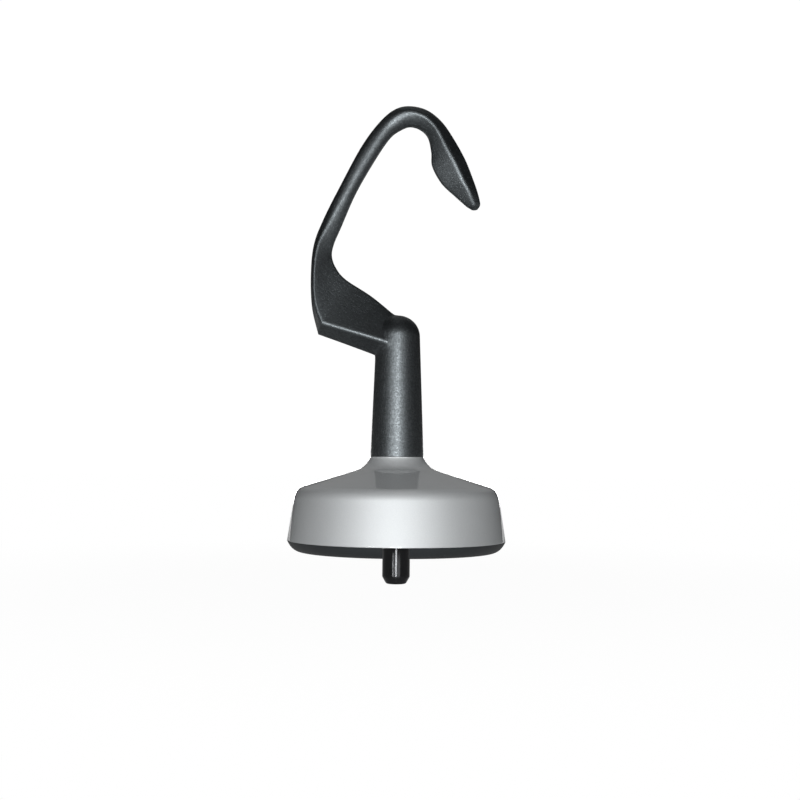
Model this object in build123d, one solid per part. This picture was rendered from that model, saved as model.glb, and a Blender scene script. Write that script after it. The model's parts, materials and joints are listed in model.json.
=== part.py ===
from build123d import *
import math
import os
from dataclasses import dataclass

# A dough hook for a stand mixer, in millimetres, shown with its shaft downwards.
# The Z axis is the shaft's axis, and z = 0 is the shaft's shoulder, where the drive socket stops.
# The front of the hook faces -Y, and its parting plane is y = 0.

# Drive shaft: a turned steel pin with one drive flat on its back and a shank pressed into the stem
SHAFT_RADIUS = 5.5
SHAFT_LENGTH = 30.4
SHAFT_TIP_BEVEL_LENGTH = 2.8
SHAFT_TIP_BEVEL_DEPTH = 1.6
FLAT_DEPTH = 0.45
FLAT_LENGTH = 12.0
SHANK_STEP = 0.5
SHANK_LENGTH = 46.0
PRESS_GAP = 0.01

# Straight cuts that make up each round of a turned profile, and the stem's dome
CUTS_PER_ROUND = 2
CUTS_PER_DOME = 3

# Stem of the casting: a tapered round bar with a domed end, and a spigot with a key flat at its back
STEM_BASE_RADIUS = 10.6
STEM_TOP_RADIUS = 8.8
STEM_LENGTH = 48.2
DOME_HEIGHT = 8.55
SPIGOT_RADIUS = 8.0
SPIGOT_TAIL = 3.1
KEY_DEPTH = 0.8
BORE_END_ROOM = 1.5

# Hook above the base of the stem's dome, with trimmed lands along its two edges and a flat on its back
HOOK_RISE = 93.5
HOOK_DEPTH = 13.5
EDGE_LAND = 1.4
EDGE_LAND_SHARE = 0.25
BACK_LAND_SHARE = 0.35
SECTIONS_PER_SPAN = 2

# Guard: a bell with a short neck, a shallow cone, a rounded shoulder and a flared wall
NECK_BLEND = 3.7
CONE_ANGLE = 17.9
SHOULDER_RADIUS = 40.1
SHOULDER_BLEND = 2.7
WALL_FLARE = 3.3
GUARD_HEIGHT = 33.3
GUARD_WALL = 2.2

# Hub of the guard on the spigot, with stiffening ribs under the roof
HUB_LENGTH = 15.9
HUB_WALL = 2.6
HUB_CLEARANCE = 0.1
RIB_COUNT = 6
RIB_THICKNESS = 1.6
RIB_HEIGHT = 4.5

# Dark ring at the guard's rim: a skirt inside the wall and a bead below it, notched in front of the shaft
BEAD_HEIGHT = 4.3
BEAD_LEAN = 2.0
SKIRT_WALL = 2.5
SKIRT_HEIGHT = 4.0
SKIRT_CLEARANCE = 0.1
NOTCH_WIDTH = 9.8

# Spring pin across the spigot and the shank, covered by the hub
PIN_RADIUS = 1.5
PIN_WALL = 0.4
PIN_SLIT = 0.5
PIN_RISE = 5.9
PIN_END_INSET = 0.3

# Retaining ring under the hub
RING_THICKNESS = 1.0
RING_WIDTH = 2.2
RING_OFFSET = 0.4
RING_GAP = 5.0
GROOVE_DEPTH = 0.5
GROOVE_CLEARANCE = 0.05


@dataclass
class Station:
    """One cross-section of the hook between its inner and its outer edge.

    The edges are (x, height) points of the parting plane in hundredths of the hook's rise, and heights are
    taken from the base of the stem's dome. The ridge is a share of the width, counted from the outer edge,
    and the crest is the share that the ridge's land takes up. Front and back are the depths of the ridge
    and of the back in hundredths of the hook's depth.
    """

    inner: tuple
    outer: tuple
    ridge: float
    crest: float
    front: float
    back: float


# The web, from inside the stem to the sharp outer corner where the arm turns up
WEB = (
    Station((0.0, 7.9), (0.0, -11.6), 0.35, 0.05, 58, 42),
    Station((-11.3, 17.1), (-20.1, -4.3), 0.22, 0.04, 57, 40),
    Station((-22.6, 24.4), (-34.3, 0.7), 0.16, 0.03, 53, 37),
)

# The arm, from that corner over the top of the hook to the leaf-shaped paddle and its tip
ARM = (
    WEB[-1],
    Station((-27.0, 29.5), (-37.1, 12.2), 0.34, 0.05, 46, 35),
    Station((-28.8, 34.7), (-37.8, 25.9), 0.46, 0.14, 39, 34),
    Station((-27.9, 40.0), (-36.8, 38.8), 0.50, 0.23, 34, 33),
    Station((-25.0, 47.0), (-33.0, 49.7), 0.50, 0.26, 31, 33),
    Station((-18.7, 61.9), (-25.1, 66.1), 0.52, 0.29, 30, 32),
    Station((-10.3, 76.9), (-16.5, 82.5), 0.54, 0.26, 30, 32),
    Station((-4.2, 86.0), (-8.7, 93.2), 0.55, 0.25, 30, 32),
    Station((0.3, 89.5), (-2.1, 99.3), 0.55, 0.19, 32, 32),
    Station((4.4, 91.0), (4.5, 100.0), 0.55, 0.18, 33, 31),
    Station((8.7, 89.8), (12.0, 98.2), 0.56, 0.14, 35, 30),
    Station((12.1, 86.4), (18.5, 93.0), 0.57, 0.12, 37, 30),
    Station((13.6, 80.2), (23.9, 85.2), 0.51, 0.09, 39, 29),
    Station((14.1, 73.9), (28.6, 76.6), 0.40, 0.07, 38, 28),
    Station((18.1, 66.6), (31.9, 68.3), 0.34, 0.06, 33, 24),
    Station((23.6, 61.3), (33.7, 63.2), 0.38, 0.07, 27, 21),
    Station((28.3, 57.2), (34.9, 58.5), 0.48, 0.09, 19, 15),
    Station((31.1, 55.1), (33.7, 55.0), 0.50, 0.15, 6, 6),
)

# Sizes that follow from the ones above
RISE_UNIT = HOOK_RISE / 100
DEPTH_UNIT = HOOK_DEPTH / 100
SHANK_RADIUS = SHAFT_RADIUS - SHANK_STEP
GUARD_NECK_RADIUS = STEM_BASE_RADIUS
CONE_SLOPE = math.tan(math.radians(CONE_ANGLE))
RIM_RADIUS = SHOULDER_RADIUS + WALL_FLARE
SKIRT_INSET = GUARD_WALL + SKIRT_CLEARANCE

# Levels on the shaft's axis, stacked up from the spigot's end
RING_Z = SPIGOT_TAIL + RING_THICKNESS
PIN_Z = RING_Z + PIN_RISE
SHOULDER_Z = RING_Z + HUB_LENGTH
RIM_Z = SHOULDER_Z - GUARD_HEIGHT
DOME_Z = SHOULDER_Z + STEM_LENGTH


def turned(*points):
    """Solid of a half profile, drawn as (radius, level) points, turned about the Z axis."""
    return revolve(Plane.XZ * make_face(Polyline(*points, close=True)), Axis.Z)


def cross_rod(radius, length):
    """Round bar along X through the axis, at the spring pin's level."""
    return Pos(0, 0, PIN_Z) * Rot(0, 90, 0) * Cylinder(radius, length)


def keyed_bar(clearance, bottom, top):
    """The spigot's round bar with its key flat, or with a clearance, the hole for it."""
    radius = SPIGOT_RADIUS + clearance
    beyond_flat = Pos(0, radius + SPIGOT_RADIUS - KEY_DEPTH + clearance) * Rectangle(2 * radius, 2 * radius)
    return Pos(0, 0, bottom) * extrude(Circle(radius) - beyond_flat, top - bottom)


def cuts_around(start, corner, end):
    """Points of the straight cuts that lead from start to end around the inside of a corner."""
    curve = Bezier(start, corner, end)
    points = [curve @ (cut / CUTS_PER_ROUND) for cut in range(CUTS_PER_ROUND + 1)]
    return [(point.X, point.Y) for point in points]


def rounded(before, corner, after, reach):
    """Points of the cuts that round a corner, from the same reach along each of its two sides."""
    corner = Vector(corner)
    start = corner + (Vector(before) - corner).normalized() * reach
    end = corner + (Vector(after) - corner).normalized() * reach
    return cuts_around(start, corner, end)


def hook_section(station):
    """Eight-sided section of the casting, with narrow lands at its edges, its ridge and its back."""
    inner = Vector(station.inner) * RISE_UNIT
    across = Vector(station.outer) * RISE_UNIT - inner
    width = across.length
    front = station.front * DEPTH_UNIT
    back = station.back * DEPTH_UNIT
    edge_land = min(EDGE_LAND, EDGE_LAND_SHARE * (front + back))
    edge_front = edge_land * front / (front + back)
    edge_back = edge_front - edge_land
    ridge = width * (1 - station.ridge)
    half_crest = width * station.crest / 2
    half_back = BACK_LAND_SHARE * width / 2
    outline = Polyline(
        (0, edge_back),
        (0, edge_front),
        (ridge - half_crest, front),
        (ridge + half_crest, front),
        (width, edge_front),
        (width, edge_back),
        (width / 2 + half_back, -back),
        (width / 2 - half_back, -back),
        close=True,
    )
    plane = Plane(
        origin=(inner.X, 0, DOME_Z + inner.Y),
        x_dir=(across.X, 0, across.Y),
        z_dir=(across.Y, 0, -across.X),
    )
    return plane * make_face(outline)


def through_stations(stations):
    """The stations with evenly spaced sections between them, on a Catmull-Rom curve through each size."""
    rows = [(*each.inner, *each.outer, each.ridge, each.crest, each.front, each.back) for each in stations]
    padded = [rows[0], *rows, rows[-1]]
    sections = []
    for before, start, end, after in zip(padded, padded[1:], padded[2:], padded[3:]):
        for step in range(SECTIONS_PER_SPAN):
            t = step / SECTIONS_PER_SPAN
            row = [
                b + t * ((c - a) + t * ((2 * a - 5 * b + 4 * c - d) + t * (3 * b - a - 3 * c + d))) / 2
                for a, b, c, d in zip(before, start, end, after)
            ]
            sections.append(Station(tuple(row[0:2]), tuple(row[2:4]), *row[4:]))
    return [*sections, stations[-1]]


def stem():
    """Keyed spigot, shoulder, tapered bar and dome."""
    quarter = math.pi / 2
    turns = [quarter * cut / CUTS_PER_DOME for cut in range(CUTS_PER_DOME)]
    dome = [(STEM_TOP_RADIUS * math.cos(turn), DOME_Z + DOME_HEIGHT * math.sin(turn)) for turn in turns]
    top = (0, DOME_Z + DOME_HEIGHT)
    return turned((0, SHOULDER_Z), (STEM_BASE_RADIUS, SHOULDER_Z), *dome, top) + keyed_bar(0, 0, SHOULDER_Z)


def hook():
    """The whole casting: stem, web, arm and paddle, with the shank's bore, ring groove and pin hole."""
    web = loft([hook_section(station) for station in WEB])
    arm = loft([hook_section(station) for station in through_stations(ARM)])
    bore = extrude(Circle(SHANK_RADIUS + PRESS_GAP), SHANK_LENGTH + BORE_END_ROOM)
    groove_plan = Circle(STEM_BASE_RADIUS) - Circle(SPIGOT_RADIUS - GROOVE_DEPTH)
    groove_z = RING_Z - RING_THICKNESS - GROOVE_CLEARANCE
    groove = Pos(0, 0, groove_z) * extrude(groove_plan, RING_THICKNESS + 2 * GROOVE_CLEARANCE)
    pin_hole = cross_rod(PIN_RADIUS + PRESS_GAP, 2 * STEM_BASE_RADIUS)
    return stem() + web + arm - bore - groove - pin_hole


def drive_shaft():
    """Turned pin with a bevelled free end, a flat along its back, a shouldered shank and a cross hole."""
    tip_z = -SHAFT_LENGTH
    body = turned(
        (0, tip_z),
        (SHAFT_RADIUS - SHAFT_TIP_BEVEL_DEPTH, tip_z),
        (SHAFT_RADIUS, tip_z + SHAFT_TIP_BEVEL_LENGTH),
        (SHAFT_RADIUS, 0),
        (SHANK_RADIUS, 0),
        (SHANK_RADIUS, SHANK_LENGTH),
        (0, SHANK_LENGTH),
    )
    flat = Pos(0, SHAFT_RADIUS, tip_z) * Box(
        2 * SHAFT_RADIUS, 2 * FLAT_DEPTH, FLAT_LENGTH, align=(Align.CENTER, Align.CENTER, Align.MIN)
    )
    pin_hole = cross_rod(PIN_RADIUS + PRESS_GAP, 2 * STEM_BASE_RADIUS)
    return body - flat - pin_hole


def wall_slope():
    """How far the guard's wall leans out for each millimetre down."""
    cone_drop = (SHOULDER_RADIUS - GUARD_NECK_RADIUS) * CONE_SLOPE
    return WALL_FLARE / (GUARD_HEIGHT - NECK_BLEND - cone_drop)


def wall_radius(inset, rise):
    """Radius of the guard's wall at a rise above its rim, set in from its outside."""
    return RIM_RADIUS - inset * math.hypot(1, wall_slope()) - rise * wall_slope()


def bell_corners(inset):
    """Neck, shoulder and rim of the guard's half profile, set in from its outside."""
    # The set-in cone is lower and the set-in wall is further in, and they meet in a corner of their own
    cone_z = SHOULDER_Z - NECK_BLEND - inset * math.hypot(1, CONE_SLOPE)
    apex_rise = cone_z + GUARD_NECK_RADIUS * CONE_SLOPE - RIM_Z
    corner_radius = wall_radius(inset, apex_rise) / (1 - wall_slope() * CONE_SLOPE)
    corner_z = RIM_Z + apex_rise - corner_radius * CONE_SLOPE
    return (GUARD_NECK_RADIUS, cone_z), (corner_radius, corner_z), (wall_radius(inset, 0), RIM_Z)


def bell_outside():
    """Solid within the guard's outside: neck, cone, shoulder and wall with their rounded corners."""
    neck, shoulder, rim = bell_corners(0)
    neck_top = (GUARD_NECK_RADIUS, SHOULDER_Z)
    neck_round = rounded(neck_top, neck, shoulder, NECK_BLEND)
    shoulder_round = rounded(neck, shoulder, rim, SHOULDER_BLEND)
    return turned((0, RIM_Z), (0, SHOULDER_Z), *neck_round, *shoulder_round, rim)


def bell_inside():
    """Solid of the space under the guard's roof and within its wall."""
    neck, shoulder, rim = bell_corners(GUARD_WALL)
    return turned((0, RIM_Z), rim, shoulder, neck, (0, neck[1]))


def guard_ribs():
    """Radial ribs from the hub to the wall, hanging under the roof."""
    hub_middle = SPIGOT_RADIUS + HUB_WALL / 2
    neck, shoulder, _ = bell_corners(GUARD_WALL / 2)
    blade = Polyline(
        (hub_middle, neck[1] - RIB_HEIGHT),
        (hub_middle, neck[1]),
        neck,
        shoulder,
        (shoulder[0], shoulder[1] - RIB_HEIGHT),
        close=True,
    )
    rib = extrude(Plane.XZ * make_face(blade), RIB_THICKNESS / 2, both=True)
    step = 360 / RIB_COUNT
    return [Rot(0, 0, step * number + step / 2) * rib for number in range(RIB_COUNT)]


def guard():
    """Silver bell with a keyed hub on the spigot and ribs inside."""
    shell = bell_outside() - bell_inside()
    hub = Pos(0, 0, RING_Z) * extrude(Circle(SPIGOT_RADIUS + HUB_WALL), HUB_LENGTH - NECK_BLEND)
    return shell + hub + guard_ribs() - keyed_bar(HUB_CLEARANCE, RING_Z, SHOULDER_Z)


def rim_ring():
    """Dark ring with a skirt in the guard's wall and a round bead under its rim, notched at the front."""
    bottom = RIM_Z - BEAD_HEIGHT
    skirt_top = RIM_Z + SKIRT_HEIGHT
    skirt_radius = wall_radius(SKIRT_INSET, SKIRT_HEIGHT)
    inside = skirt_radius - SKIRT_WALL
    body = turned(
        *cuts_around((RIM_RADIUS, RIM_Z), (RIM_RADIUS - BEAD_LEAN, bottom), (inside, bottom)),
        (inside, skirt_top),
        (skirt_radius, skirt_top),
        (skirt_radius, RIM_Z),
    )
    notch = Pos(0, -RIM_RADIUS, bottom) * Box(NOTCH_WIDTH, RIM_RADIUS, 2 * BEAD_HEIGHT)
    return body - notch


def spring_pin():
    """Slit tube across the spigot and the shank."""
    length = 2 * (SPIGOT_RADIUS - PIN_END_INSET)
    slit = Pos(0, 0, PIN_Z - PIN_RADIUS) * Box(length, PIN_SLIT, 2 * PIN_RADIUS)
    return cross_rod(PIN_RADIUS, length) - cross_rod(PIN_RADIUS - PIN_WALL, length) - slit


def retaining_ring():
    """Open spring ring in the spigot's groove, widest across from its gap."""
    inner = SPIGOT_RADIUS - GROOVE_DEPTH
    gap = Pos(0, -inner) * Rectangle(RING_GAP, 4 * RING_WIDTH)
    ring = Pos(0, RING_OFFSET) * Circle(inner + RING_WIDTH) - Circle(inner) - gap
    return Pos(0, 0, RING_Z - RING_THICKNESS) * extrude(ring, RING_THICKNESS)


PIECES = {
    "hook": hook,
    "drive_shaft": drive_shaft,
    "spring_pin": spring_pin,
    "guard": guard,
    "rim_ring": rim_ring,
    "retaining_ring": retaining_ring,
}

os.makedirs("parts", exist_ok=True)
for name, make_piece in PIECES.items():
    export_step(make_piece(), f"parts/{name}.step")
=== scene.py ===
"""Looks of a stand mixer dough hook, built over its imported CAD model."""

import json
import math

import bmesh
import bpy
import numpy as np
from bpy.props import FloatProperty, FloatVectorProperty, IntProperty, PointerProperty
from mathutils import Matrix, Vector
from mathutils.bvhtree import BVHTree

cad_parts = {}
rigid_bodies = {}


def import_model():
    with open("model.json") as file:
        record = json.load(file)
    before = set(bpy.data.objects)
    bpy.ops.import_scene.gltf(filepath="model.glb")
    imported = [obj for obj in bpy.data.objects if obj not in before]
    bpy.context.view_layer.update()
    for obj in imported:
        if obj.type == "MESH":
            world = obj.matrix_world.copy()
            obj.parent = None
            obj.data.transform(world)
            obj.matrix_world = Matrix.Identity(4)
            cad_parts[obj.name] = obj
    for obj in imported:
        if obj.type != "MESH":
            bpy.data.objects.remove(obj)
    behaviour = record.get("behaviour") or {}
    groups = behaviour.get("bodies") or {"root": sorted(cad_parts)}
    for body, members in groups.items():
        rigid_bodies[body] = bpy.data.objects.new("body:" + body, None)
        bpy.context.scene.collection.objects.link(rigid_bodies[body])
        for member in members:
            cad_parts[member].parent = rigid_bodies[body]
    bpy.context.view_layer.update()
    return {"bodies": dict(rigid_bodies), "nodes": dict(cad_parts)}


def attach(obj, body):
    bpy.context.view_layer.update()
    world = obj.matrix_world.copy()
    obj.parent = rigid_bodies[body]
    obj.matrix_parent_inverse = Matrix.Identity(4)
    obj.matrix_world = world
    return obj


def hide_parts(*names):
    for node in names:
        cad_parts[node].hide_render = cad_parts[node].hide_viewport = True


bl_info = {
    "name": "Dough hook",
    "version": (1, 0, 0),
    "blender": (4, 5, 0),
    "location": "View3D > Sidebar > Dough hook",
    "description": "Builds the casting, guard, rim band and shaft of a dough hook, and a studio for it",
    "category": "Object",
}

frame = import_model()
BODY = next(iter(frame["bodies"]))
MM = 0.001
WHITE = (1.0, 1.0, 1.0, 1.0)
MIRROR_RAYS = ("Is Glossy Ray", "Is Transmission Ray")

# Crease angle in degrees, round of small edges, and the distance below which two points are one.
CREASE = 40.0
EDGE_BREAK = 0.3 * MM
SAME_PLACE = 1e-7

# Steps round the axis of each turned piece, steps along the parts of the hook and along soft curves, and
# the most degrees between two points of a round.
STEM_SEGMENTS = 160
GUARD_SEGMENTS = 256
BEAD_SEGMENTS = 240
SHAFT_SEGMENTS = 192
TAPER_STEPS = 40
DOME_STEPS = 24
STATION_STEPS = 12
ROUND_STEPS = 8
FACE_STEPS = 5
TIP_STEPS = 6
CURVE_STEPS = 16
ROUND_DEGREES = 6

# Rounds: the share of a side that the two rounds on it may take, and the share of a straight at which a
# point lies beside a round.
ROUND_ROOM = 0.96
BESIDE_ROUND = 0.02

# Hook stations: inner edge (x, height), outer edge (x, height), ridge, front, back and roundness.
# Edges are in hundredths of the hook's rise, with heights from the base of the stem's dome. The ridge is a
# share of the width from the outer edge, front and back are hundredths of the hook's depth, and roundness
# goes from two flat faces with a ridge at 0 to an oval front at 1.
WEB = (
    (0.0, 7.9, 0.0, -11.6, 0.35, 58, 42, 0.0),
    (-11.3, 17.1, -20.1, -4.3, 0.22, 57, 40, 0.0),
    (-22.6, 24.4, -34.3, 0.7, 0.16, 53, 37, 0.0),
)
ARM = (
    WEB[-1],
    (-27.0, 29.5, -37.1, 12.2, 0.12, 46, 35, 0.05),
    (-28.8, 34.7, -37.8, 25.9, 0.15, 39, 34, 0.10),
    (-27.9, 40.0, -36.8, 38.8, 0.23, 34, 33, 0.30),
    (-25.0, 47.0, -33.0, 49.7, 0.38, 31, 33, 0.70),
    (-18.7, 61.9, -25.1, 66.1, 0.52, 30, 32, 1.0),
    (-10.3, 76.9, -16.5, 82.5, 0.54, 30, 32, 1.0),
    (-4.2, 86.0, -8.7, 93.2, 0.50, 30, 32, 0.95),
    (0.3, 89.5, -2.1, 98.6, 0.41, 34, 32, 0.90),
    (4.4, 91.0, 4.5, 100.0, 0.38, 37, 31, 0.75),
    (8.7, 89.8, 12.0, 98.2, 0.43, 40, 30, 0.55),
    (12.1, 86.4, 18.5, 93.0, 0.49, 41.5, 30, 0.38),
    (13.6, 80.2, 23.9, 85.2, 0.46, 41.5, 29, 0.20),
    (14.1, 73.9, 28.6, 76.6, 0.36, 40.5, 28, 0.10),
    (18.1, 66.6, 31.9, 68.3, 0.34, 36, 24, 0.06),
    (23.6, 61.3, 33.7, 63.2, 0.38, 29, 21, 0.10),
    (28.3, 57.2, 34.9, 58.5, 0.48, 19, 15, 0.25),
    (29.8, 56.05, 34.75, 56.75, 0.49, 14, 11, 0.40),
    (31.0, 55.4, 34.0, 55.7, 0.50, 6, 6, 0.50),
)
# Shares in a hook section: an edge's land of the depth, the back's flat of the width, the ridge's round of
# the narrower face, and an oval front's height of the ridge's height.
LAND_SHARE = 0.25
BACK_SHARE = 0.35
ROUND_SHARE = 0.35
OVAL_SHARE = 0.9

# Lamps: name, place, width and height in metres, and brightness of the face. Each faces LAMP_AIM.
LAMPS = (
    ("front_light", (0.0, -0.80, 0.045), 0.16, 0.16, 46.0),
    ("front_panel", (0.06, -0.85, 0.05), 1.00, 0.15, 6.0),
    ("left_light", (-0.35, -0.72, 0.045), 0.12, 0.16, 19.0),
    ("top_fill", (0.0, 0.05, 0.75), 0.35, 0.35, 0.4),
    ("back_light", (0.0, 0.80, 0.02), 0.50, 0.06, 7.0),
)
LAMP_AIM = Vector((0.0, 0.0, 0.04))

# Distances from the axis over which the floor goes from shaded to white, and over which a painted shade,
# seen in reflections only, goes from dim to white, and the light of the room around.
SHADOW_REACH = (0.05, 0.30)
REFLECTED_SHADE_REACH = (0.20, 2.00)
ROOM_LIGHT = 0.02


def length(name, description, millimetres):
    """A size that is shown and changed as a length."""
    return FloatProperty(
        name=name, description=description, default=millimetres * MM, unit="LENGTH", precision=5
    )


def angle(name, description, degrees):
    """A setting that is shown and changed as an angle."""
    return FloatProperty(
        name=name, description=description, default=math.radians(degrees), subtype="ANGLE"
    )


def colour(name, description, rgb):
    """A finish colour in linear light."""
    return FloatVectorProperty(
        name=name, description=description, default=rgb, size=3, subtype="COLOR", min=0.0, max=1.0
    )


class CastingSettings(bpy.types.PropertyGroup):
    """Sizes and finish of the cast hook."""

    rise: length("Rise", "Height of the hook above the base of the stem's dome", 93.5)
    depth: length("Depth", "Depth of the web from its ridge to its back", 13.5)
    spigot_radius: length("Spigot radius", "Radius of the spigot inside the guard", 8.0)
    shoulder_height: length("Shoulder height", "Level at which the stem leaves the guard", 20.0)
    stem_base_radius: length("Stem base radius", "Radius of the stem above the guard", 10.6)
    stem_top_radius: length("Stem top radius", "Radius of the stem below its dome", 8.8)
    stem_length: length("Stem length", "Length of the tapered stem", 48.2)
    dome_height: length("Dome height", "Height of the stem's dome", 8.55)
    edge_land: length("Edge land", "Width of the trimmed edges of the arm", 1.4)
    ridge_round: length("Ridge round", "Longest reach of the ridge's round", 1.8)
    edge_round: length("Edge round", "Reach of the round at the edges", 0.9)
    back_round: length("Back round", "Reach of the rounds at the back", 3.0)
    tip_reach: length("Tip reach", "How far the paddle's end bulges", 0.5)
    chamfer: length("Chamfer", "Chamfer of the spigot's end", 0.4)
    foot_round: length("Foot round", "How far in the round at the stem's foot begins", 0.35)
    foot_bow: length("Foot bow", "How far that round stays off its corner", 0.1)
    foot_rise: length("Foot rise", "Height of that round", 0.4)
    blend: length("Blend", "Reach of the soft blend between web and stem", 1.4)
    paint: colour("Paint", "Dark metallic coating", (0.085, 0.094, 0.099))


class GuardSettings(bpy.types.PropertyGroup):
    """Sizes and finish of the bell-shaped guard."""

    neck_radius: length("Neck radius", "Radius of the neck at the stem", 10.6)
    neck_corner: length("Neck corner", "Level at which the neck would meet the cone", 16.3)
    lip: length("Lip", "Height of the straight lip on the neck", 0.25)
    lip_round: length("Lip round", "Radius of the lip's upper edge", 0.2)
    flare_shift: length("Flare shift", "How far down the cone the flare's corner lies", 2.0)
    flare_reach: length("Flare reach", "How far the flare runs out on the cone", 4.2)
    shoulder_radius: length("Shoulder radius", "Radius of the shoulder corner", 40.25)
    shoulder_level: length("Shoulder level", "Level of the shoulder corner", 7.25)
    shoulder_round: length("Shoulder round", "Radius of the round at the shoulder", 5.6)
    rim_radius: length("Rim radius", "Radius of the rim", 43.4)
    rim_level: length("Rim level", "Level of the rim", -13.3)
    crown: length("Crown", "How far the wall bulges between shoulder and rim", 0.06)
    crown_round: length("Crown round", "Radius of the wall's bulge", 400.0)
    wall: length("Wall", "Thickness of the moulded wall", 2.2)
    inner_round: length("Inner round", "Radius of the round inside the shoulder", 2.0)
    hub_radius: length("Hub radius", "Outer radius of the hub", 10.6)
    hub_bottom: length("Hub bottom", "Level of the hub's lower end", 4.1)
    hub_round: length("Hub round", "Radius of the round between hub and roof", 1.2)
    bore_radius: length("Bore radius", "Radius of the hole for the spigot", 8.1)
    rib_count: IntProperty(name="Ribs", description="Number of ribs under the roof", default=6, min=3)
    rib_thickness: length("Rib thickness", "Thickness of each rib", 1.6)
    rib_height: length("Rib height", "Depth of each rib below the roof", 4.5)
    rib_sink: length("Rib sink", "How far each rib runs into the wall", 0.4)
    hub_sink: length("Hub sink", "How far each rib runs into the hub", 1.0)
    rib_round: length("Rib round", "Width of the rounded edges of each rib", 0.25)
    lacquer: colour("Lacquer", "Silver metallic lacquer", (0.62, 0.64, 0.65))


class RimSettings(bpy.types.PropertyGroup):
    """Sizes and finish of the dark band under the guard."""

    bead_height: length("Bead height", "Height of the band below the rim", 4.3)
    bead_lean: length("Bead lean", "How far the band's outside leans in over its height", 2.0)
    inner_radius: length("Inner radius", "Radius of the band's inside", 37.91)
    skirt_radius: length("Skirt radius", "Radius of the skirt inside the wall", 40.41)
    skirt_height: length("Skirt height", "Height of the skirt above the rim", 4.0)
    skirt_round: length("Skirt round", "Radius of the skirt's upper edges", 0.4)
    skirt_sink: length("Skirt sink", "How far the skirt runs into the bead", 0.2)
    notch_width: length("Notch width", "Width of the notch in front of the shaft", 9.8)
    plastic: colour("Plastic", "Dark satin plastic", (0.015, 0.018, 0.020))


class ShaftSettings(bpy.types.PropertyGroup):
    """Sizes and finish of the drive shaft."""

    radius: length("Radius", "Radius of the shaft", 5.5)
    reach: length("Reach", "Length of the shaft below its shoulder", 30.4)
    bevel_length: length("Bevel length", "Length of the bevel at the free end", 2.8)
    bevel_depth: length("Bevel depth", "Depth of the bevel at the free end", 1.6)
    tip_round: length("Tip round", "Radius of the edge at the free end", 1.1)
    bevel_round: length("Bevel round", "Radius of the edge above the bevel", 1.6)
    flat_depth: length("Flat depth", "Depth of the drive flat", 0.45)
    flat_length: length("Flat length", "Length of the drive flat from the free end", 12.0)
    flat_ledge: length("Flat ledge", "Half the length in which the flat runs out", 0.05)
    shank_radius: length("Shank radius", "Radius of the shank inside the stem", 5.0)
    shank_length: length("Shank length", "Length of the shank inside the stem", 46.0)
    shank_round: length("Shank round", "Radius of the edge at the shank's end", 0.5)
    steel: colour("Steel", "Blackened polished steel", (0.050, 0.051, 0.053))


class StageSettings(bpy.types.PropertyGroup):
    """Camera, light and floor."""

    camera_distance: length("Camera distance", "Distance of the camera from the shaft's axis", 500.0)
    camera_side: length("Camera side", "Sideways place of the camera", 1.0)
    camera_height: length("Camera height", "Level of the camera", 20.0)
    camera_pitch: angle("Camera pitch", "Upward tilt", 2.61)
    camera_roll: angle("Camera roll", "Turn about the view axis", 0.5)
    lens: FloatProperty(name="Lens", description="Focal length in millimetres", default=56.19, min=1.0)
    floor_level: length("Floor level", "Level of the floor under the shaft's tip", -30.45)
    floor_reach: length("Floor reach", "Half the width of the floor", 3000.0)
    floor_colour: colour("Floor", "Pale floor", (0.86, 0.87, 0.88))


class DoughHookSettings(bpy.types.PropertyGroup):
    """All settings of the dough hook."""

    casting: PointerProperty(type=CastingSettings)
    guard: PointerProperty(type=GuardSettings)
    rim: PointerProperty(type=RimSettings)
    shaft: PointerProperty(type=ShaftSettings)
    stage: PointerProperty(type=StageSettings)


class Field:
    """A shader socket that takes part in sums: each sum adds Math nodes to its tree."""

    def __init__(self, shader, socket):
        self.shader = shader
        self.socket = socket

    def combine(self, operation, first, second):
        """Adds one Math node."""
        return self.shader.node("ShaderNodeMath", {"operation": operation}, {0: first, 1: second})

    def __add__(self, other):
        return self.combine("ADD", self, other)

    def __radd__(self, other):
        return self.combine("ADD", other, self)

    def __sub__(self, other):
        return self.combine("SUBTRACT", self, other)

    def __rsub__(self, other):
        return self.combine("SUBTRACT", other, self)

    def __mul__(self, other):
        return self.combine("MULTIPLY", self, other)

    def __rmul__(self, other):
        return self.combine("MULTIPLY", other, self)

    def __truediv__(self, other):
        return self.combine("DIVIDE", self, other)

    def __rtruediv__(self, other):
        return self.combine("DIVIDE", other, self)

    def __pow__(self, other):
        return self.combine("POWER", self, other)

    def __rpow__(self, other):
        return self.combine("POWER", other, self)


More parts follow.
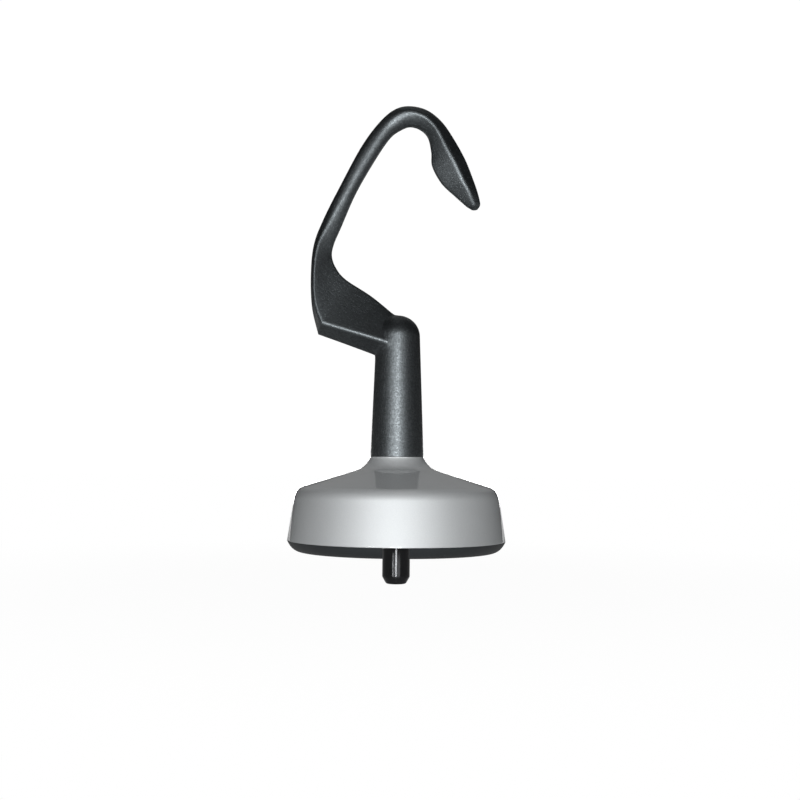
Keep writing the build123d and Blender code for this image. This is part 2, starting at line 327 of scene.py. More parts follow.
class Shader:
    """A node tree that is written as Python expressions."""

    def __init__(self, owner):
        owner.use_nodes = True
        self.tree = owner.node_tree
        self.tree.nodes.clear()

    def node(self, kind, settings=None, inputs=None, output=0):
        """Adds a node, applies its settings, fills its sockets and gives one of its outputs."""
        made = self.tree.nodes.new(kind)
        for name, value in (settings or {}).items():
            setattr(made, name, value)
        for name, value in (inputs or {}).items():
            if isinstance(value, Field):
                self.tree.links.new(value.socket, made.inputs[name])
            else:
                made.inputs[name].default_value = value
        return Field(self, made.outputs[output]) if len(made.outputs) else None

    def object_point(self):
        """Place on the piece, in metres."""
        return self.node("ShaderNodeTexCoord", output="Object")

    def vector(self, operation, *vectors, output=0):
        """A sum of one or two vectors."""
        inputs = dict(enumerate(vectors))
        return self.node("ShaderNodeVectorMath", {"operation": operation}, inputs, output)

    def noise(self, point, size, detail):
        """Soft noise with spots of about the given size in millimetres."""
        inputs = {"Vector": point, "Scale": 1.0 / (size * MM), "Detail": detail}
        return self.node("ShaderNodeTexNoise", None, inputs, "Fac")

    def cells(self, point, size, output):
        """Grains of about the given size in millimetres."""
        inputs = {"Vector": point, "Scale": 1.0 / (size * MM)}
        return self.node("ShaderNodeTexVoronoi", None, inputs, output)

    def between(self, value, low, high, first=0.0, last=1.0):
        """The value taken smoothly from one range to another."""
        inputs = {"Value": value, "From Min": low, "From Max": high, "To Min": first, "To Max": last}
        return self.node("ShaderNodeMapRange", {"interpolation_type": "SMOOTHSTEP"}, inputs)

    def tint(self, factor, first, last):
        """A colour between two others."""
        inputs = {0: factor, 6: as_colour(first), 7: as_colour(last)}
        return self.node("ShaderNodeMix", {"data_type": "RGBA"}, inputs, 2)

    def bump(self, height, depth, strength):
        """Surface relief of the given depth in millimetres."""
        inputs = {"Height": height, "Distance": depth * MM, "Strength": strength}
        return self.node("ShaderNodeBump", None, inputs)

    def rays(self, *kinds):
        """One for rays of the given kinds, and nothing for all others."""
        first, *others = (self.node("ShaderNodeLightPath", output=kind) for kind in kinds)
        for other in others:
            first = self.node("ShaderNodeMath", {"operation": "MAXIMUM"}, {0: first, 1: other})
        return first

    def surface(self, **inputs):
        """Principled surface as the tree's result."""
        named = {name.replace("_", " "): value for name, value in inputs.items()}
        self.finish(self.node("ShaderNodeBsdfPrincipled", None, named))

    def finish(self, shader):
        """Makes a shader the tree's result."""
        of_material = self.tree.id_data.id_type == "MATERIAL"
        kind = "ShaderNodeOutputMaterial" if of_material else "ShaderNodeOutputWorld"
        self.node(kind, None, {"Surface": shader})


def as_colour(rgb):
    """A colour with its alpha."""
    return (*rgb, 1.0)


def scaled(rgb, factor):
    """A colour made lighter or darker."""
    return tuple(min(1.0, channel * factor) for channel in rgb)


def casting_paint(settings):
    """Dark metallic coating with fine flakes and a slight orange peel."""
    material = bpy.data.materials.new("casting_paint")
    shader = Shader(material)
    point = shader.object_point()
    flake = shader.cells(point, 0.55, "Color")
    grain = shader.node("ShaderNodeSeparateColor", None, {"Color": flake}, 0)
    cloud = shader.noise(point, 9.0, 3.0)
    peel = shader.noise(point, 1.1, 2.0)
    light = shader.between(grain, 0.0, 1.0, 0.0, 0.6) + cloud * 0.4
    base = shader.tint(light, scaled(settings.paint, 0.75), scaled(settings.paint, 1.3))
    rough = 0.43 + 0.06 * cloud - 0.06 * grain
    relief = shader.bump(peel * 0.3 + grain * 0.7, 0.07, 0.65)
    shader.surface(Base_Color=base, Metallic=0.95, Roughness=rough, Normal=relief)
    return material


def guard_lacquer(settings):
    """Silver metallic lacquer under a clear coat."""
    material = bpy.data.materials.new("guard_lacquer")
    shader = Shader(material)
    point = shader.object_point()
    flake = shader.cells(point, 0.16, "Color")
    grain = shader.node("ShaderNodeSeparateColor", None, {"Color": flake}, 1)
    cloud = shader.noise(point, 26.0, 2.0)
    light = grain * 0.5 + cloud * 0.5
    base = shader.tint(light, scaled(settings.lacquer, 0.92), scaled(settings.lacquer, 1.06))
    rough = 0.66 + 0.06 * cloud
    relief = shader.bump(shader.noise(point, 14.0, 1.0), 0.02, 0.4)
    shader.surface(
        Base_Color=base,
        Metallic=0.75,
        Roughness=rough,
        Normal=relief,
        Coat_Weight=1.0,
        Coat_Roughness=0.04,
    )
    return material


def rim_plastic(settings):
    """Dark satin plastic with a fine moulded grain."""
    material = bpy.data.materials.new("rim_plastic")
    shader = Shader(material)
    point = shader.object_point()
    grain = shader.noise(point, 0.5, 3.0)
    cloud = shader.noise(point, 12.0, 2.0)
    base = shader.tint(cloud, scaled(settings.plastic, 0.85), scaled(settings.plastic, 1.2))
    relief = shader.bump(grain, 0.02, 0.5)
    shader.surface(Base_Color=base, Roughness=0.42 + 0.1 * grain, Normal=relief)
    return material


def shaft_steel(settings):
    """Blackened polished steel with faint turning marks."""
    material = bpy.data.materials.new("shaft_steel")
    shader = Shader(material)
    point = shader.object_point()
    stretched = shader.node("ShaderNodeMapping", None, {"Vector": point, "Scale": (1.0, 1.0, 14.0)})
    marks = shader.noise(stretched, 4.0, 3.0)
    smudge = shader.noise(point, 5.0, 3.0)
    base = shader.tint(smudge, scaled(settings.steel, 0.85), scaled(settings.steel, 1.15))
    relief = shader.bump(marks, 0.004, 0.3)
    shader.surface(
        Base_Color=base,
        Metallic=1.0,
        Roughness=0.16 + 0.03 * smudge,
        Normal=relief,
        Anisotropic=1.0,
        Anisotropic_Rotation=0.25,
    )
    return material


def spring_steel():
    """Oiled spring steel with a blued tint."""
    material = bpy.data.materials.new("spring_steel")
    shader = Shader(material)
    point = shader.object_point()
    stain = shader.noise(point, 2.5, 4.0)
    base = shader.tint(stain, (0.15, 0.155, 0.17), (0.26, 0.26, 0.27))
    relief = shader.bump(shader.noise(point, 0.3, 2.0), 0.01, 0.4)
    shader.surface(Base_Color=base, Metallic=1.0, Roughness=0.28 + 0.15 * stain, Normal=relief)
    return material


def bowed(start, corner, end, steps):
    """Points of a soft curve from start to end around the inside of a corner."""
    shares = [step / steps for step in range(steps + 1)]
    return [start.lerp(corner, t).lerp(corner.lerp(end, t), t) for t in shares]


def rounded_profile(corners):
    """Points of a closed (radius, level) profile whose corners are (radius, level, round) rows.

    A point close beside each round keeps the shading of the round off the straight next to it.
    """
    points = []
    count = len(corners)
    for index, (x, y, reach) in enumerate(corners):
        corner = Vector((x, y))
        before = Vector(corners[index - 1][:2]) - corner
        after = Vector(corners[(index + 1) % count][:2]) - corner
        if reach <= 0.0:
            points.append(corner)
            continue
        turn = math.pi - before.angle(after)
        room = ROUND_ROOM / 2 * min(before.length, after.length)
        tangent = min(reach * math.tan(turn / 2), room)
        radius = tangent / math.tan(turn / 2)
        middle = (before.normalized() + after.normalized()).normalized()
        centre = corner + middle * (radius / math.cos(turn / 2))
        start = corner + before.normalized() * tangent - centre
        steps = max(3, math.ceil(math.degrees(turn) / ROUND_DEGREES))
        side = 1.0 if before.x * after.y - before.y * after.x < 0 else -1.0
        points.append(corner + before * (tangent / before.length + BESIDE_ROUND))
        for step in range(steps + 1):
            swing = Matrix.Rotation(side * turn * step / steps, 2)
            points.append(centre + swing @ start)
        points.append(corner + after * (tangent / after.length + BESIDE_ROUND))
    return points


def lathe(points, segments, closed=True):
    """Vertices and faces of a profile turned about the Z axis. A point on the axis becomes a pole."""
    vertices = []
    rings = []
    for radius, level in points:
        if abs(radius) < SAME_PLACE:
            rings.append([len(vertices)] * segments)
            vertices.append((0.0, 0.0, level))
            continue
        rings.append(list(range(len(vertices), len(vertices) + segments)))
        for step in range(segments):
            turn = 2 * math.pi * step / segments
            vertices.append((radius * math.cos(turn), radius * math.sin(turn), level))
    faces = []
    followers = rings[1:] + rings[:1] if closed else rings[1:]
    for low, high in zip(rings, followers):
        for step in range(segments):
            after = (step + 1) % segments
            corners = (low[step], low[after], high[after], high[step])
            face = tuple(dict.fromkeys(corners))
            if len(face) > 2:
                faces.append(face)
    return vertices, faces


def filled(body, vertices, faces):
    """Adds vertices and faces to a mesh that is being edited."""
    made = [body.verts.new(vertex) for vertex in vertices]
    for face in faces:
        body.faces.new([made[corner] for corner in face])


def settled(body, name):
    """Ends the editing with a plain mesh whose normals face outwards."""
    bmesh.ops.recalc_face_normals(body, faces=body.faces)
    mesh = bpy.data.meshes.new(name)
    body.to_mesh(mesh)
    body.free()
    return mesh


def shell(vertices, faces):
    """A closed mesh of its own."""
    body = bmesh.new()
    filled(body, vertices, faces)
    return settled(body, "shell")


def piece(name, meshes, material, crease=CREASE):
    """One object from several sets of vertices and faces."""
    body = bmesh.new()
    for vertices, faces in meshes:
        filled(body, vertices, faces)
    bmesh.ops.remove_doubles(body, verts=body.verts, dist=SAME_PLACE)
    return dressed(name, settled(body, name), material, crease)


def dressed(name, mesh, material, crease=CREASE):
    """An object of a finished mesh, smooth up to the crease angle."""
    mesh.materials.clear()
    mesh.materials.append(material)
    mesh.shade_smooth()
    mesh.set_sharp_from_angle(angle=math.radians(crease))
    made = bpy.data.objects.new(name, mesh)
    bpy.context.scene.collection.objects.link(made)
    return made


def seat(made, node):
    """Lets a piece stand for a CAD node and take its place."""
    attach(made, BODY)
    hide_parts(node)


def curve_through(rows, steps):
    """Rows on a Catmull-Rom curve through the given rows."""
    rows = [np.array(row, float) for row in rows]
    padded = [rows[0], *rows, rows[-1]]
    result = []
    for a, b, c, d in zip(padded, padded[1:], padded[2:], padded[3:]):
        for step in range(steps):
            t = step / steps
            bend = 2 * a - 5 * b + 4 * c - d + t * (3 * b - a - 3 * c + d)
            result.append(b + t * (c - a + t * bend) / 2)
    result.append(rows[-1])
    return result


def section_rounds(corners, reaches):
    """Where each corner's round starts and ends, kept apart from the rounds of the corners beside it."""
    starts, ends = [None] * len(corners), [None] * len(corners)
    for index, corner in enumerate(corners):
        before = index - 1
        side = corner - corners[before]
        fit = min(1.0, ROUND_ROOM * side.length / (reaches[before] + reaches[index]))
        ends[before] = corners[before] + side.normalized() * reaches[before] * fit
        starts[index] = corner - side.normalized() * reaches[index] * fit
    return starts, ends


def soft_section(row, settings):
    """Closed section of the hook in space: seven corners, each taken round by its own reach."""
    inner_x, inner_height, outer_x, outer_height, ridge, front, back, roundness = row
    rise, depth = settings.rise / 100, settings.depth / 100
    inner = Vector((inner_x, 0.0, inner_height)) * rise
    across = Vector((outer_x, 0.0, outer_height)) * rise - inner
    width = across.length
    across.normalize()
    front, back = front * depth, back * depth
    land = min(settings.edge_land, LAND_SHARE * (front + back))
    edge_front = land * front / (front + back)
    edge_back = edge_front - land
    crest = width * (1 - ridge)
    half_back = BACK_SHARE / 2 * width
    rise_front = front - edge_front
    faces = [math.hypot(crest, rise_front), math.hypot(width - crest, rise_front)]
    ridge_round = min(settings.ridge_round, ROUND_SHARE * min(faces))
    lowered = ridge_round / 4 * (rise_front / faces[0] + rise_front / faces[1])
    rounded_corners = (
        (0.0, edge_back, settings.edge_round),
        (0.0, edge_front, settings.edge_round),
        (crest, front + lowered, ridge_round),
        (width, edge_front, settings.edge_round),
        (width, edge_back, settings.edge_round),
        (width / 2 + half_back, -back, settings.back_round),
        (width / 2 - half_back, -back, settings.back_round),
    )
    corners = [Vector(corner[:2]) for corner in rounded_corners]
    starts, ends = section_rounds(corners, [corner[2] for corner in rounded_corners])
    points = []
    for corner, start, end, follow in zip(corners, starts, ends, starts[1:] + starts[:1]):
        points.extend(bowed(start, corner, end, ROUND_STEPS))
        points.extend(end.lerp(follow, step / FACE_STEPS) for step in range(1, FACE_STEPS))
    for point in points:
        if point.y > edge_front:
            reach = crest if point.x < crest else width - crest
            away = (point.x - crest) / reach
            oval = edge_front + OVAL_SHARE * rise_front * math.sqrt(max(0.0, 1 - away * away))
            point.y += (oval - point.y) * roundness
    base = settings.shoulder_height + settings.stem_length
    return [(inner.x + across.x * p.x, -p.y, base + inner.z + across.z * p.x) for p in points]


def skinned(sections):
    """Vertices and faces of a skin over closed sections, with both ends capped."""
    count = len(sections[0])
    vertices = [point for section in sections for point in section]
    faces = []
    for row in range(len(sections) - 1):
        for step in range(count):
            after = (step + 1) % count
            low, high = row * count, (row + 1) * count
            faces.append((low + step, low + after, high + after, high + step))
    faces.append(tuple(range(count)))
    faces.append(tuple(range((len(sections) - 1) * count, len(sections) * count)))
    return vertices, faces


def lifted(mesh, other, reach):
    """Places of a mesh's vertices once those near another mesh move out to a soft blend with it."""
    tree = BVHTree.FromPolygons([v.co for v in other.vertices], [tuple(p.vertices) for p in other.polygons])
    places = []
    for vertex, normal in zip(mesh.vertices, mesh.vertex_normals):
        distance = tree.find_nearest(vertex.co)[3]
        lift = max(reach - distance, 0.0) ** 2 / (4 * reach)
        places.append(vertex.co + normal.vector * lift)
    return places


def patterned(name, mesh, count, material):
    """Copies of a mesh set evenly round the Z axis by Geometry Nodes, as one plain mesh."""
    tree = bpy.data.node_groups.new(name + "_pattern", "GeometryNodeTree")
    interface = tree.interface
    interface.new_socket("Geometry", in_out="INPUT", socket_type="NodeSocketGeometry")
    copies = interface.new_socket("Copies", in_out="INPUT", socket_type="NodeSocketInt")
    finish = interface.new_socket("Finish", in_out="INPUT", socket_type="NodeSocketMaterial")
    interface.new_socket("Geometry", in_out="OUTPUT", socket_type="NodeSocketGeometry")
    entry, result, line, index, shifted, share, turn, angles, rotation, spread, realize, paint = (
        tree.nodes.new(kind)
        for kind in (
            "NodeGroupInput",
            "NodeGroupOutput",
            "GeometryNodeMeshLine",
            "GeometryNodeInputIndex",
            "ShaderNodeMath",
            "ShaderNodeMath",
            "ShaderNodeMath",
            "ShaderNodeCombineXYZ",
            "FunctionNodeEulerToRotation",
            "GeometryNodeInstanceOnPoints",
            "GeometryNodeRealizeInstances",
            "GeometryNodeSetMaterial",
        )
    )
    line.inputs["Offset"].default_value = (0.0, 0.0, 0.0)
    shifted.operation = "ADD"
    shifted.inputs[1].default_value = 0.5
    share.operation = "DIVIDE"
    turn.operation = "MULTIPLY"
    turn.inputs[1].default_value = 2 * math.pi
    for output, target in (
        (entry.outputs["Copies"], line.inputs["Count"]),
        (index.outputs[0], shifted.inputs[0]),
        (shifted.outputs[0], share.inputs[0]),
        (entry.outputs["Copies"], share.inputs[1]),
        (share.outputs[0], turn.inputs[0]),
        (turn.outputs[0], angles.inputs["Z"]),
        (angles.outputs[0], rotation.inputs[0]),
        (line.outputs[0], spread.inputs["Points"]),
        (entry.outputs["Geometry"], spread.inputs["Instance"]),
        (rotation.outputs[0], spread.inputs["Rotation"]),
        (spread.outputs[0], realize.inputs[0]),
        (realize.outputs[0], paint.inputs["Geometry"]),
        (entry.outputs["Finish"], paint.inputs["Material"]),
        (paint.outputs[0], result.inputs[0]),
    ):
        tree.links.new(output, target)
    source = bpy.data.objects.new(name + "_source", mesh)
    bpy.context.scene.collection.objects.link(source)
    modifier = source.modifiers.new("pattern", "NODES")
    modifier.node_group = tree
    modifier[copies.identifier] = count
    modifier[finish.identifier] = material
    evaluated = source.evaluated_get(bpy.context.evaluated_depsgraph_get())
    plain = bpy.data.meshes.new_from_object(evaluated)
    bpy.data.objects.remove(source)
    return dressed(name, plain, material)


class DOUGHHOOK_OT_casting(bpy.types.Operator):
    """Makes the cast hook: stem, web, arm and paddle"""

    bl_idname = "dough_hook.casting"
    bl_label = "Cast hook"

    def execute(self, context):
        settings = context.scene.dough_hook.casting
        stem = shell(*lathe(self.stem_profile(settings), STEM_SEGMENTS, closed=False))
        sections = [soft_section(row, settings) for row in self.stations()]
        arm = shell(*skinned(sections + self.tip(sections[-1], settings.tip_reach)))
        stem_places = lifted(stem, arm, settings.blend)
        arm_places = lifted(arm, stem, settings.blend)
        for mesh, places in ((stem, stem_places), (arm, arm_places)):
            mesh.vertices.foreach_set("co", np.array(places, np.float32).ravel())
            mesh.update()
        made = dressed("hook_casting", self.united(stem, arm), casting_paint(settings), crease=60.0)
        seat(made, "hook")
        return {"FINISHED"}

    def stations(self):
        """Rows from the stem to the tip.

        The outer edge has a corner between web and arm, and the inner edge has none.
        """
        cornered = curve_through(WEB, STATION_STEPS)[:-1] + curve_through(ARM, STATION_STEPS)
        smooth = curve_through(WEB[:-1] + ARM, STATION_STEPS)
        return [(*inside[:2], *outside[2:]) for inside, outside in zip(smooth, cornered)]

    def stem_profile(self, settings):
        """Half profile from the spigot's end over the shoulder and the taper to the dome's top."""
        shoulder = settings.shoulder_height
        dome = shoulder + settings.stem_length
        spigot, base, top = settings.spigot_radius, settings.stem_base_radius, settings.stem_top_radius
        chamfer, bow = settings.chamfer, settings.foot_bow
        points = [(0.0, 0.0), (spigot - chamfer, 0.0), (spigot, chamfer), (spigot, shoulder)]
        points += [(base - settings.foot_round, shoulder), (base - bow, shoulder + bow)]
        foot = shoulder + settings.foot_rise
        for step in range(1, TAPER_STEPS + 1):
            t = step / TAPER_STEPS
            points.append((base + (top - base) * t, foot + (dome - foot) * t))
        for step in range(1, DOME_STEPS):
            turn = math.pi / 2 * step / DOME_STEPS
            points.append((top * math.cos(turn), dome + settings.dome_height * math.sin(turn)))
        return points + [(0.0, dome + settings.dome_height)]

    def tip(self, section, reach):
        """Shrinking sections that round off the paddle's end."""
        points = [Vector(point) for point in section]
        centre = sum(points, Vector()) / len(points)
        across = points[0] - centre
        along = Vector((across.z, 0.0, -across.x)).normalized()
        away = along if along.z < 0 else -along
        sections = []
        for step in range(1, TIP_STEPS):
            turn = math.pi / 2 * step / TIP_STEPS
            middle = centre + away * (reach * math.sin(turn))
            sections.append([middle + (point - centre) * math.cos(turn) for point in points])
        return sections

    def united(self, stem, arm):
        """One closed mesh of the stem and the arm."""
        first = bpy.data.objects.new("stem_part", stem)
        second = bpy.data.objects.new("arm_part", arm)
        for part in (first, second):
            bpy.context.scene.collection.objects.link(part)
        union = first.modifiers.new("union", "BOOLEAN")
        union.operation = "UNION"
        union.solver = "MANIFOLD"
        union.object = second
        evaluated = first.evaluated_get(bpy.context.evaluated_depsgraph_get())
        mesh = bpy.data.meshes.new_from_object(evaluated)
        if len(mesh.polygons) < len(stem.polygons) / 2:
            raise RuntimeError("the stem and the arm didn't unite")
        for part in (first, second):
            bpy.data.objects.remove(part)
        return mesh


class DOUGHHOOK_OT_guard(bpy.types.Operator):
    """Makes the silver guard with its hub and ribs"""

    bl_idname = "dough_hook.guard"
    bl_label = "Guard"

    def execute(self, context):
        settings = context.scene.dough_hook.guard
        material = guard_lacquer(settings)
        made = piece("guard_bell", [lathe(self.profile(settings), GUARD_SEGMENTS)], material)
        seat(made, "guard")
        ribs = self.ribs(settings, material)
        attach(ribs, BODY)
        return {"FINISHED"}

    def slopes(self, settings):
        """Fall of the cone and lean of the wall, as slopes."""
        fall = settings.neck_corner - settings.shoulder_level
        drop = settings.shoulder_level - settings.rim_level
        cone = fall / (settings.shoulder_radius - settings.neck_radius)
        wall = (settings.rim_radius - settings.shoulder_radius) / drop
        return cone, wall

    def inside(self, settings):
        """Inner shoulder corner and inner rim radius."""
        cone, wall = self.slopes(settings)
        rim = settings.rim_radius - settings.wall * math.hypot(1, wall)
        roof = settings.neck_corner - settings.wall * math.hypot(1, cone)
        apex = roof + settings.neck_radius * cone
        radius = (rim - (apex - settings.rim_level) * wall) / (1 - wall * cone)
        return radius, apex - radius * cone, rim

    def profile(self, settings):
        """Closed half profile of the bell and its hub."""
        cone, _ = self.slopes(settings)
        radius, level, rim = self.inside(settings)
        solid = frame["nodes"]["guard"].data
        neck_top = max(vertex.co.z for vertex in solid.vertices)
        middle = (settings.shoulder_radius + settings.rim_radius) / 2 + settings.crown
        middle_level = (settings.shoulder_level + settings.rim_level) / 2
        hub_roof = level + (radius - settings.hub_radius) * cone
        start = Vector((settings.neck_radius, neck_top - settings.lip))
        down_cone = Vector((1.0, -cone)).normalized()
        neck = Vector((settings.neck_radius, settings.neck_corner)) + down_cone * settings.flare_shift
        neck_curve = bowed(start, neck, neck + down_cone * settings.flare_reach, CURVE_STEPS)
        return rounded_profile(
            [
                (settings.bore_radius, neck_top, EDGE_BREAK),
                (settings.neck_radius, neck_top, settings.lip_round),
                *((*point, 0.0) for point in neck_curve),
                (settings.shoulder_radius, settings.shoulder_level, settings.shoulder_round),
                (middle, middle_level, settings.crown_round),
                (settings.rim_radius, settings.rim_level, EDGE_BREAK),
                (rim, settings.rim_level, EDGE_BREAK),
                (radius, level, settings.inner_round),
                (settings.hub_radius, hub_roof, settings.hub_round),
                (settings.hub_radius, settings.hub_bottom, EDGE_BREAK),
                (settings.bore_radius, settings.hub_bottom, EDGE_BREAK),
            ]
        )

    def ribs(self, settings, material):
        """Ribs under the roof, set round the hub by a node tree and turned into a plain mesh."""
        cone, _ = self.slopes(settings)
        radius, level, _ = self.inside(settings)
        sink = settings.rib_sink
        start, end = settings.hub_radius - settings.hub_sink, radius + sink
        roof = level + (radius - start) * cone + 2 * sink
        blade = [
            (start, roof),
            (end, level + sink),
            (end, level - settings.rib_height),
            (start, roof - settings.rib_height - 2 * sink),
        ]
        half = settings.rib_thickness / 2
        vertices = [(x, side, z) for side in (-half, half) for x, z in blade]
        faces = [(0, 1, 2, 3), (7, 6, 5, 4)]
        faces += [(step, 4 + step, 4 + (step + 1) % 4, (step + 1) % 4) for step in range(4)]
        body = bmesh.new()
        filled(body, vertices, faces)
        bmesh.ops.recalc_face_normals(body, faces=body.faces)
        bmesh.ops.bevel(
            body,
            geom=list(body.edges),
            offset=settings.rib_round,
            segments=3,
            affect="EDGES",
            profile=0.5,
        )
        return patterned("guard_ribs", settled(body, "rib"), settings.rib_count, material)


class DOUGHHOOK_OT_rim_band(bpy.types.Operator):
    """Makes the dark band under the guard's rim"""

    bl_idname = "dough_hook.rim_band"
    bl_label = "Rim band"

    def execute(self, context):
        settings = context.scene.dough_hook.rim
        guard = context.scene.dough_hook.guard
        rim, outer, inner = guard.rim_level, guard.rim_radius, settings.inner_radius
        bottom, top = rim - settings.bead_height, rim + settings.skirt_height
        start = Vector((outer, rim))
        corner = Vector((outer - settings.bead_lean, bottom))
        end = Vector((inner, bottom))
        bead = [*bowed(start, corner, end, CURVE_STEPS), Vector((inner, rim))]
        root = rim - settings.skirt_sink
        skirt = rounded_profile(
            [
                (inner, root, 0.0),
                (inner, top, settings.skirt_round),
                (settings.skirt_radius, top, settings.skirt_round),
                (settings.skirt_radius, root, 0.0),
            ]
        )
        notched = self.notched(bead, settings.notch_width / 2)
        made = piece("rim_band", [notched, lathe(skirt, GUARD_SEGMENTS)], rim_plastic(settings))
        seat(made, "rim_ring")
        return {"FINISHED"}

    def notched(self, points, half_notch):
        """A turned profile that leaves a notch with straight sides at the front."""
        sections = []
        for step in range(BEAD_SEGMENTS + 1):
            section = []
            for radius, level in points:
                edge = math.asin(half_notch / radius)
                turn = edge + (2 * math.pi - 2 * edge) * step / BEAD_SEGMENTS - math.pi / 2
                section.append((radius * math.cos(turn), radius * math.sin(turn), level))
            sections.append(section)
        return skinned(sections)


class DOUGHHOOK_OT_shaft(bpy.types.Operator):
    """Makes the drive shaft with its flat"""

    bl_idname = "dough_hook.shaft"
    bl_label = "Drive shaft"

    def execute(self, context):
        settings = context.scene.dough_hook.shaft
        flat_top = settings.flat_length - settings.reach
        vertices, faces = lathe(self.profile(settings, flat_top), SHAFT_SEGMENTS, closed=False)
        back = settings.radius - settings.flat_depth
        vertices = [(x, min(y, back), z) if z < flat_top else (x, y, z) for x, y, z in vertices]
        made = piece("shaft_pin", [(vertices, faces)], shaft_steel(settings), crease=30.0)
        seat(made, "drive_shaft")
        return {"FINISHED"}

    def profile(self, settings, flat_top):
        """Half profile from the free end to the shank's end, with two points where the flat runs out."""
        radius, tip, ledge = settings.radius, -settings.reach, settings.flat_ledge
        points = rounded_profile(
            [
                (0.0, tip, 0.0),
                (radius - settings.bevel_depth, tip, settings.tip_round),
                (radius, tip + settings.bevel_length, settings.bevel_round),
                (radius, 0.0, EDGE_BREAK),
                (settings.shank_radius, 0.0, 0.0),
                (settings.shank_radius, settings.shank_length, settings.shank_round),
                (0.0, settings.shank_length, 0.0),
            ]
        )
        cut = next(index for index, point in enumerate(points) if point.y > flat_top)
        points[cut:cut] = [Vector((radius, flat_top - ledge)), Vector((radius, flat_top + ledge))]
        return points


class DOUGHHOOK_OT_fasteners(bpy.types.Operator):
    """Gives the spring pin and the retaining ring their steel"""

    bl_idname = "dough_hook.fasteners"
    bl_label = "Fasteners"

    def execute(self, context):
        material = spring_steel()
        for name in ("spring_pin", "retaining_ring"):
            slots = frame["nodes"][name].data.materials
            slots.clear()
            slots.append(material)
        return {"FINISHED"}


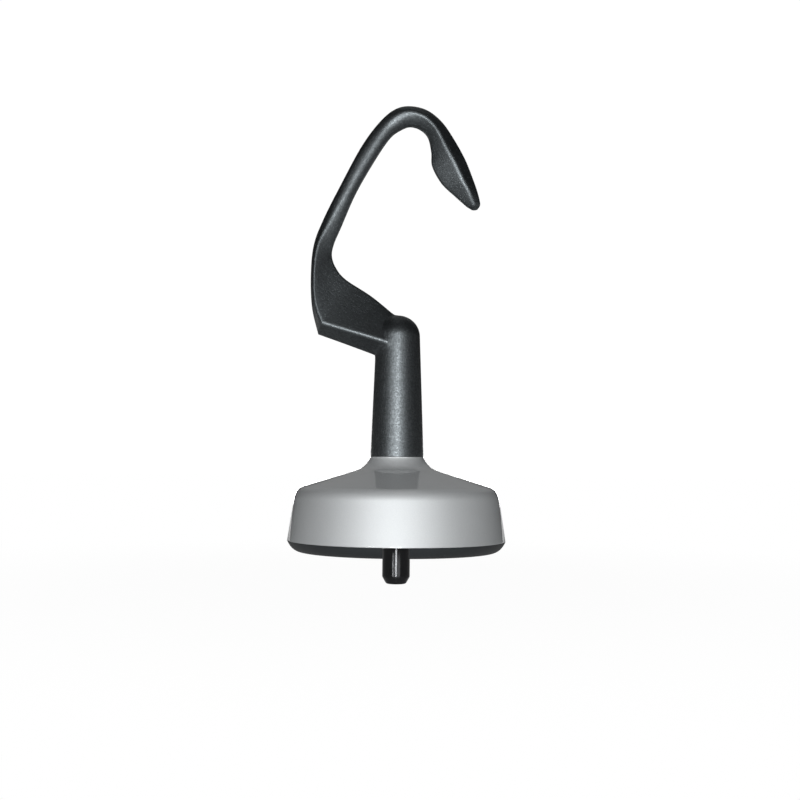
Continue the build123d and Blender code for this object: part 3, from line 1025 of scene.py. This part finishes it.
class DOUGHHOOK_OT_stage(bpy.types.Operator):
    """Sets up the floor, the lights, the surroundings and the camera"""

    bl_idname = "dough_hook.stage"
    bl_label = "Stage"

    def execute(self, context):
        settings = context.scene.dough_hook.stage
        self.floor(settings)
        self.surroundings(context.scene)
        for lamp in LAMPS:
            self.softbox(*lamp)
        self.camera(context.scene, settings)
        context.scene.view_settings.view_transform = "Standard"
        return {"FINISHED"}

    def floor(self, settings):
        """Pale floor with a soft shadow near the object, white further out and clear from below."""
        mesh = bpy.data.meshes.new("floor")
        reach, level = settings.floor_reach, settings.floor_level
        ways = ((-1, -1), (1, -1), (1, 1), (-1, 1))
        corners = [(x * reach, y * reach, level) for x, y in ways]
        mesh.from_pydata(corners, [], [(0, 1, 2, 3)])
        material = bpy.data.materials.new("floor")
        shader = Shader(material)
        point = shader.object_point()
        flat = shader.vector("MULTIPLY", point, (1.0, 1.0, 0.0))
        distance = shader.vector("LENGTH", flat, output="Value")
        seen = shader.rays("Is Camera Ray") * shader.between(distance, *SHADOW_REACH, 0.97, 1.0)
        # Painted shade: near the object the floor is dimmed in reflections only, standing in for the shade
        # under the object.
        mirrored = shader.rays(*MIRROR_RAYS) * shader.between(distance, *REFLECTED_SHADE_REACH, 0.20, 1.0)
        white = seen + mirrored
        plain = shader.node("ShaderNodeBsdfDiffuse", None, {"Color": as_colour(settings.floor_colour)})
        glow = shader.node("ShaderNodeEmission", None, {"Color": WHITE, "Strength": 1.0})
        upper = shader.node("ShaderNodeMixShader", None, {0: white, 1: plain, 2: glow})
        below = shader.node("ShaderNodeNewGeometry", output="Backfacing")
        clear = shader.node("ShaderNodeBsdfTransparent")
        shader.finish(shader.node("ShaderNodeMixShader", None, {0: below, 1: upper, 2: clear}))
        mesh.materials.append(material)
        made = bpy.data.objects.new("floor", mesh)
        bpy.context.scene.collection.objects.link(made)

    def surroundings(self, scene):
        """White to look at, white behind the object in reflections, and a dim room elsewhere."""
        scene.world = bpy.data.worlds.new("studio")
        shader = Shader(scene.world)
        direction = shader.node("ShaderNodeTexCoord", output="Generated")
        behind = shader.vector("DOT_PRODUCT", direction, (0.0, 1.0, 0.0), output="Value")
        above = shader.vector("DOT_PRODUCT", direction, (0.0, 0.78, 0.62), output="Value")
        wall = shader.between(behind, 0.985, 0.998)
        card = shader.between(above, 0.80, 0.92, 0.0, 0.24)
        mirrored = shader.rays(*MIRROR_RAYS) * (wall + card)
        shade = shader.rays("Is Camera Ray") + mirrored + ROOM_LIGHT
        shader.finish(shader.node("ShaderNodeBackground", None, {"Color": WHITE, "Strength": shade}))

    def softbox(self, name, place, width, height, radiance):
        """Area lamp that faces the object, with a given brightness of its face."""
        data = bpy.data.lights.new(name, "AREA")
        data.shape = "RECTANGLE"
        data.size, data.size_y = width, height
        data.energy = radiance * width * height * math.pi
        lamp = bpy.data.objects.new(name, data)
        lamp.location = place
        lamp.rotation_euler = (LAMP_AIM - Vector(place)).to_track_quat("-Z", "Y").to_euler()
        lamp.visible_camera = False
        bpy.context.scene.collection.objects.link(lamp)

    def camera(self, scene, settings):
        """Camera at the photograph's angle."""
        data = bpy.data.cameras.new("camera")
        data.sensor_width = 36.0
        data.lens = settings.lens
        data.clip_start = 0.01
        made = bpy.data.objects.new("camera", data)
        tilt = Matrix.Rotation(math.pi / 2 + settings.camera_pitch, 4, "X")
        roll = Matrix.Rotation(settings.camera_roll, 4, "Z")
        place = Vector((settings.camera_side, -settings.camera_distance, settings.camera_height))
        made.matrix_world = Matrix.Translation(place) @ tilt @ roll
        scene.collection.objects.link(made)
        scene.camera = made


class DOUGHHOOK_PT_panel(bpy.types.Panel):
    """Sidebar panel with the pieces and their sizes"""

    bl_label = "Dough hook"
    bl_idname = "DOUGHHOOK_PT_panel"
    bl_space_type = "VIEW_3D"
    bl_region_type = "UI"
    bl_category = "Dough hook"

    def draw(self, context):
        settings = context.scene.dough_hook
        for operator, group in STEPS:
            box = self.layout.box()
            box.operator(operator.bl_idname)
            if group:
                values = getattr(settings, group)
                for name in values.__annotations__:
                    box.prop(values, name)


STEPS = (
    (DOUGHHOOK_OT_casting, "casting"),
    (DOUGHHOOK_OT_guard, "guard"),
    (DOUGHHOOK_OT_rim_band, "rim"),
    (DOUGHHOOK_OT_shaft, "shaft"),
    (DOUGHHOOK_OT_fasteners, None),
    (DOUGHHOOK_OT_stage, "stage"),
)
CLASSES = (
    CastingSettings,
    GuardSettings,
    RimSettings,
    ShaftSettings,
    StageSettings,
    DoughHookSettings,
    *(operator for operator, _ in STEPS),
    DOUGHHOOK_PT_panel,
)


def register():
    """Registers the classes and hangs the settings on the scene."""
    for each in CLASSES:
        bpy.utils.register_class(each)
    bpy.types.Scene.dough_hook = PointerProperty(type=DoughHookSettings)


def unregister():
    """Takes the settings and the classes away again."""
    del bpy.types.Scene.dough_hook
    for each in reversed(CLASSES):
        bpy.utils.unregister_class(each)


def main():
    """Builds every piece and the stage."""
    register()
    bpy.ops.dough_hook.casting()
    bpy.ops.dough_hook.guard()
    bpy.ops.dough_hook.rim_band()
    bpy.ops.dough_hook.shaft()
    bpy.ops.dough_hook.fasteners()
    bpy.ops.dough_hook.stage()


if __name__ == "__main__":
    main()
